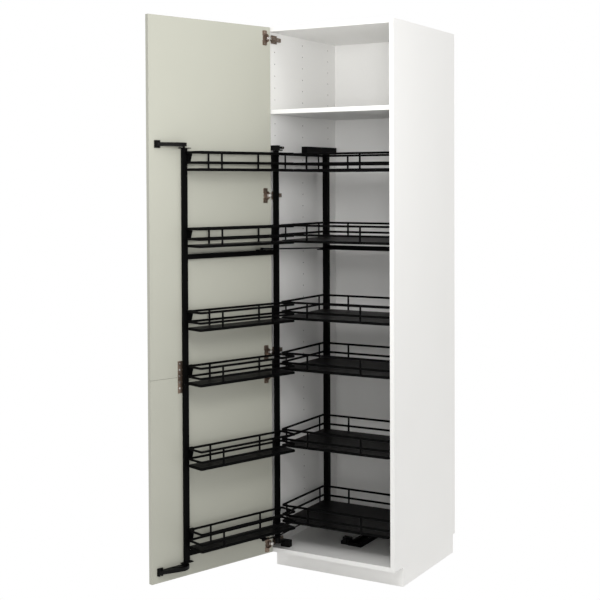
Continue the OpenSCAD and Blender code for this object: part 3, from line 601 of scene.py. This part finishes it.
# %% Trays on the front frame
front_low, front_high = (-12, 15), (461, 104)
front_uprights = [(x, y) for x in (105, 355) for y in (15, 104)]
trays("front_trays", FRONT, front_low, front_high, front_uprights, 3, "front_frame", tray_nodes("front"))

# %% Trays on the inner frame
inner_low, inner_high = (47.5, 45), (552.5, 402)
inner_uprights = [(x, y) for x in (174.5, 425.5) for y in (45, 402)]
inner_uprights += [(x, y) for x in (47.5, 552.5) for y in (83, 364)]
trays("inner_trays", CARCASS, inner_low, inner_high, inner_uprights, 5, "inner_frame", tray_nodes("inner"))

# %% [markdown]
# ## Concealed hinges
# Each hinge has three parts that move against each other: the arm on the side
# panel, a cranked link, and the cup sunk in the door. All five hinges are alike,
# so each part is described once at height zero and repeated at five heights. The
# link runs round the door's edge, which is what lets the door open past square.

# %% Hinge outlines
HINGE_ZS = (117.5, 827.0, 924.0, 1579.0, 2232.5)
PIN_R = 1.5

def crosswise(bm, points, low, high):
    """A prism over an outline in the XZ plane, from y = low to y = high."""
    near = [bm.verts.new((x, low, z)) for x, z in points]
    far = [bm.verts.new((x, high, z)) for x, z in points]
    bm.faces.new(near)
    bm.faces.new(list(reversed(far)))
    count = len(points)
    for i in range(count):
        j = (i + 1) % count
        bm.faces.new((near[j], near[i], far[i], far[j]))

def turned(bm, profile, centre, axis, sides=32):
    """A turned shape: profile holds (radius, distance along axis) pairs."""
    place = shift(centre) @ Vector(axis).to_track_quat("Z", "Y").to_matrix().to_4x4()
    rings = []
    for r, h in profile:
        if r == 0:
            rings.append([bm.verts.new(place @ Vector((0, 0, h)))])
        else:
            turns = [2 * pi * k / sides for k in range(sides)]
            rings.append([bm.verts.new(place @ Vector((r * cos(a), r * sin(a), h))) for a in turns])
    for a, b in zip(rings, rings[1:]):
        for k in range(sides):
            m = (k + 1) % sides
            corners = [a[k % len(a)], a[m % len(a)], b[m % len(b)], b[k % len(b)]]
            unique = list(dict.fromkeys(corners))
            if len(unique) > 2:
                bm.faces.new(unique)

def repeated(build):
    """Builds one shape at each hinge's height in a single mesh."""
    whole = bmesh.new()
    for z in HINGE_ZS:
        part = bmesh.new()
        build(part)
        part.transform(shift((0, 0, z)))
        pour(part, whole)
    return whole

# %% Hinge arms on the side panel
def arm_shape(bm):
    body = bmesh.new()
    # The clip plate on the panel, with its two ears
    outline_prism(body, [(18, 20), (21, 20), (21, 62), (18, 62)], -17, 17)
    # The arm: a folded channel, lower at its rear end
    arm = [(21, 8), (30.5, 8), (30.5, 66), (28.6, 72), (28.6, 83), (21, 83)]
    outline_prism(body, arm, -8, 8)
    soften(body, 1.1)
    # Two cheeks carry the pin in front, with room for the link between them
    nose = [(21.2, 9), (21.2, 5), (23.5, 0.2), (24.2, -1.6), (30.0, -1.6), (30.4, 0.2), (30.4, 9)]
    for z0, z1 in ((-8, -5.5), (5.5, 8)):
        cheek = bmesh.new()
        outline_prism(cheek, nose, z0, z1)
        soften(cheek, 0.5)
        pour(cheek, body)
    rod(body, (ARM_PIN.x, ARM_PIN.y, -8.2), (ARM_PIN.x, ARM_PIN.y, 8.2), PIN_R)
    pour(body, bm)

piece("hinge_arms_dressed", repeated(arm_shape), CARCASS, "bronze_steel", "cabinet", ["hinge_arms"])

# %% Cranked links
LINK_HALF = 1.9

def link_shape(bm):
    crank = ((27, 0.2), (28.6, -6.6), (27.2, -10.2), (19.4, -12.6), (14.6, -11.4), (12, -6.5))
    line = [Vector(p) for p in crank]
    last = len(line) - 1
    left, right = [], []
    for i, p in enumerate(line):
        way = (line[min(i + 1, last)] - line[max(i - 1, 0)]).normalized()
        side = Vector((-way.y, way.x)) * LINK_HALF
        left.append(tuple(p + side))
        right.append(tuple(p - side))
    outline_prism(bm, left + right[::-1], -4.9, 4.9)
    soften(bm, 0.6)
    # A round eye at each end, bored for its pin
    for x, y, r in ((27, 0.2, 3.0), (12, -6.5, 2.8)):
        eye = [(PIN_R, -5), (r - 0.5, -5), (r, -4.4), (r, 4.4), (r - 0.5, 5), (PIN_R, 5), (PIN_R, -5)]
        turned(bm, eye, (x, y, 0), (0, 0, 1), 24)

piece("hinge_links_dressed", repeated(link_shape), LINK, "bright_steel", "hinge_links", ["hinge_links"])

# %% Cups in the door
def arc(x, z, r, start, stop, count):
    """Points on part of a circle, between two angles in degrees."""
    turns = [radians(start + (stop - start) * k / count) for k in range(count + 1)]
    return [(x + r * cos(a), z + r * sin(a)) for a in turns]

CUP_X = 23
WING_R = 4

def cup_shape(bm):
    # Two wings lie on the door above and below the arm, round the bowl's rim
    wing = arc(CUP_X, 0, 16, 36.4, 143.6, 12) + arc(CUP_X, 0, 18.5, 149.1, 102.5, 4)
    wing += arc(23, 27, WING_R, 180, 90, 4) + arc(38, 27, WING_R, 90, 0, 4) + [(42, 9.5)]
    for way in (1, -1):
        plate = bmesh.new()
        crosswise(plate, [(x, z * way) for x, z in wing], -2, -0.55)
        bmesh.ops.recalc_face_normals(plate, faces=plate.faces[:])
        soften(plate, 0.35, 1)
        pour(plate, bm)
    # The bowl, from the middle of its floor up the inside, over the rim and back outside
    bowl = [(0, 13.5), (12.5, 13.5), (15.6, 11.5), (16, 9), (16, 0.5), (16.3, 0.1), (17.4, 0.06),
            (17.5, 0.3), (17.5, 14.4), (0, 14.4)]
    turned(bm, bowl, (CUP_X, -2, 0), (0, -1, 0), 40)
    rod(bm, (CUP_PIN.x, CUP_PIN.y, -12.4), (CUP_PIN.x, CUP_PIN.y, 12.4), PIN_R)

piece("hinge_cups_dressed", repeated(cup_shape), DOOR, "bronze_steel", "door", ["hinge_cups"])

# %% [markdown]
# ## Screws with Geometry Nodes
# Cross-head screws hold the hinges, the plates and the brackets. One tree cuts a
# cross out of a low cylinder with Mesh Boolean and sets it on every point. The
# attribute that turned the uprights of the trays turns the screws too.

# %% Screw tree
SLOT_REACH, SLOT_WIDTH = 1.3, 0.28

screw_tree, gi, go = new_tree("cross_head_screw", [("Radius", 0.0035), ("Height", 0.0012)])
link = screw_tree.links.new
cut = screw_tree.nodes.new("GeometryNodeMeshBoolean")
cut.operation = "DIFFERENCE"
bars = screw_tree.nodes.new("GeometryNodeJoinGeometry")
for wide, narrow in (("X", "Y"), ("Y", "X")):
    bar = screw_tree.nodes.new("GeometryNodeMeshCube")
    size = {wide: maths(screw_tree, "MULTIPLY", gi.outputs["Radius"], SLOT_REACH),
            narrow: maths(screw_tree, "MULTIPLY", gi.outputs["Radius"], SLOT_WIDTH)}
    link(vector(screw_tree, Z=gi.outputs["Height"], **size), bar.inputs["Size"])
    lift = screw_tree.nodes.new("GeometryNodeTransform")
    up = maths(screw_tree, "MULTIPLY", gi.outputs["Height"], 0.5)
    link(vector(screw_tree, Z=up), lift.inputs["Translation"])
    link(bar.outputs["Mesh"], lift.inputs["Geometry"])
    link(lift.outputs["Geometry"], bars.inputs["Geometry"])
link(rod_node(screw_tree, 16, gi.outputs["Radius"], gi.outputs["Height"]), cut.inputs["Mesh 1"])
link(bars.outputs["Geometry"], cut.inputs["Mesh 2"])
set_out(screw_tree, cut.outputs["Mesh"], gi, go)

def screws(name, place, spots, facing, radius, height, body):
    """Cross-head screws: spots in millimetres of that place, facing one way."""
    points = [place @ Vector(p) for p in spots]
    out = (place.to_3x3() @ Vector(facing)).normalized()
    sizes = {"Radius": radius / 1000, "Height": height / 1000}
    mesh = grown(name, screw_tree, points, [], sizes, "bright_steel", [out] * len(points))
    joined(name, [mesh], "bright_steel", body, ())

# %% Hinge screws
cup_spots = [(32.5, -0.95, z + s) for z in HINGE_ZS for s in (-23.5, 23.5)]
arm_spots = [(30.6, y, z) for z in HINGE_ZS for y in (24, 56)]
clip_spots = [(21.2, 41, z + s) for z in HINGE_ZS for s in (-12.5, 12.5)]
screws("cup_screws", DOOR, cup_spots, (0, 1, 0), 3.6, 1.2, "door")
screws("arm_screws", CARCASS, arm_spots, (1, 0, 0), 3.4, 1.0, "cabinet")
screws("clip_screws", CARCASS, clip_spots, (1, 0, 0), 3.2, 1.0, "cabinet")

# %% [markdown]
# ## Soft edges on the plain parts
# The boards, posts, bars and plates keep their CAD shape. A sawn board has an edge
# band with a small round, and folded steel has a larger one, so a Bevel modifier
# gives each kind its own edge. The rounds take the highlights that tell the eye
# what a part is made of.

# %% Edge rounds
ROUNDS = {
    0.0007: ("side_panel_left", "side_panel_right", "top_panel", "bottom_panel", "fixed_shelf", "back_panel",
             "plinth_front", "plinth_left", "plinth_right", "plinth_rear", "front_floors", "inner_floors"),
    0.0010: ("door_upper", "door_lower"),
    0.0020: ("front_post_pivot", "front_post_outer", "inner_post_left", "inner_post_right", "inner_base_bar",
             "front_crossbar_top", "front_crossbar_low", "inner_crossbar"),
    0.0006: ("front_hooks", "inner_hooks", "joining_plate", "slot_plate_top", "slot_plate_bottom",
             "top_slider"),
    0.0009: ("guide_arm_top", "guide_arm_bottom", "pivot_bracket_top", "pivot_bracket_bottom", "top_guide",
             "floor_runner", "runner_stop", "inner_carriage"),
}
for width, names in ROUNDS.items():
    for name in names:
        edge = frame["nodes"][name].modifiers.new("edge_round", "BEVEL")
        edge.width = width
        edge.segments = 2
        edge.limit_method = "ANGLE"
        edge.angle_limit = radians(SHARP_FROM_DEG)
        edge.harden_normals = True
print("parts with an edge round:", sum(len(n) for n in ROUNDS.values()))

# %% [markdown]
# ## Screws on plates and brackets
# The plates and brackets are fixed with the same cross-head screw in three sizes.
# Each line below names the piece, the place it is built in, the spots, the way the
# heads face, their radius and height, and the body that they ride on.

# %% Screws on plates and brackets
SEAM_Z = 871.0
plate_spots = [(457.5 + c * 8, -0.2, SEAM_Z + r * 24 + 5) for r in (-2, -1, 0, 1, 2) for c in (-1, 1)]
bracket_spots = [(24.2, y, 1781) for y in (50, 98)]
runner_spots = [(327, y, 101.6) for y in (200, 300, 440, 540)]
screws("joining_plate_screws", DOOR, plate_spots, (0, 1, 0), 3.9, 1.3, "door")
screws("pivot_plate_screws", CARCASS, bracket_spots, (1, 0, 0), 4.0, 1.4, "cabinet")
screws("runner_screws", CARCASS, runner_spots, (0, 0, 1), 3.6, 1.2, "cabinet")

# %% [markdown]
# ## Painted shade in the shelf holes
# The rows of shelf-pin holes are real holes in both side panels. Each hole gets a
# thin dark lining, a painted shade for the dark inside of the hole. The tree hollows
# one plug with Mesh Boolean and sets it at the mouth of every hole, turned so that it
# opens into the cabinet.

# %% Hole lining tree
# The lining is painted shade: a thin dark shell for the shade inside each hole
lining_tree, gi, go = new_tree("hole_shade_lining", [("Radius", 0.00248), ("Depth", 0.0098), ("Wall", 0.0001)])
hollow = lining_tree.nodes.new("GeometryNodeMeshBoolean")
hollow.operation = "DIFFERENCE"

def plug(tree, radius, depth, rise):
    """A plug whose top lies at height rise over the mouth."""
    move = tree.nodes.new("GeometryNodeTransform")
    middle = maths(tree, "SUBTRACT", rise, maths(tree, "MULTIPLY", depth, 0.5))
    tree.links.new(vector(tree, Z=middle), move.inputs["Translation"])
    tree.links.new(rod_node(tree, 10, radius, depth), move.inputs["Geometry"])
    return move.outputs["Geometry"]

radius, depth, wall = (gi.outputs[n] for n in ("Radius", "Depth", "Wall"))
bore = maths(lining_tree, "SUBTRACT", radius, wall)
lining_tree.links.new(plug(lining_tree, radius, depth, 0), hollow.inputs["Mesh 1"])
lining_tree.links.new(plug(lining_tree, bore, depth, wall), hollow.inputs["Mesh 2"])
set_out(lining_tree, hollow.outputs["Mesh"], gi, go)

# %% Linings in every hole
TOP_HOLE_Z, HOLE_PITCH, HOLE_ROWS = 2231, 50, 43
HOLE_YS = (50, 277, 501)
SHELF_MID_Z, BOARD, CARCASS_W = 1928, 18, 600
FLOOR_TOP_Z = 98 + BOARD
SINK = 0.15
mouths, ways = [], []
for row in range(HOLE_ROWS):
    z = TOP_HOLE_Z - row * HOLE_PITCH
    if abs(z - SHELF_MID_Z) <= BOARD or z <= FLOOR_TOP_Z:
        continue
    # The top row has no hole in front, where the upper hinge sits
    for y in HOLE_YS[1:] if row == 0 else HOLE_YS:
        for x, way in ((BOARD, 1), (CARCASS_W - BOARD, -1)):
            mouths.append(CARCASS @ Vector((x - way * SINK, y, z)))
            ways.append(Vector((way, 0, 0)))
# A dark lining in every hole, as painted shade
linings = grown("hole_shade_linings", lining_tree, mouths, [], {}, "hole", ways)
joined("hole_shade_linings", [linings], "hole", "cabinet", ())
print("holes lined:", len(mouths))

# %% [markdown]
# The dressed cabinet may not outgrow the CAD one. Both boxes are gathered side by
# side in one dictionary.

size = {"cad": [list(v) for v in cad_box], "scene": [list(v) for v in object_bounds()]}
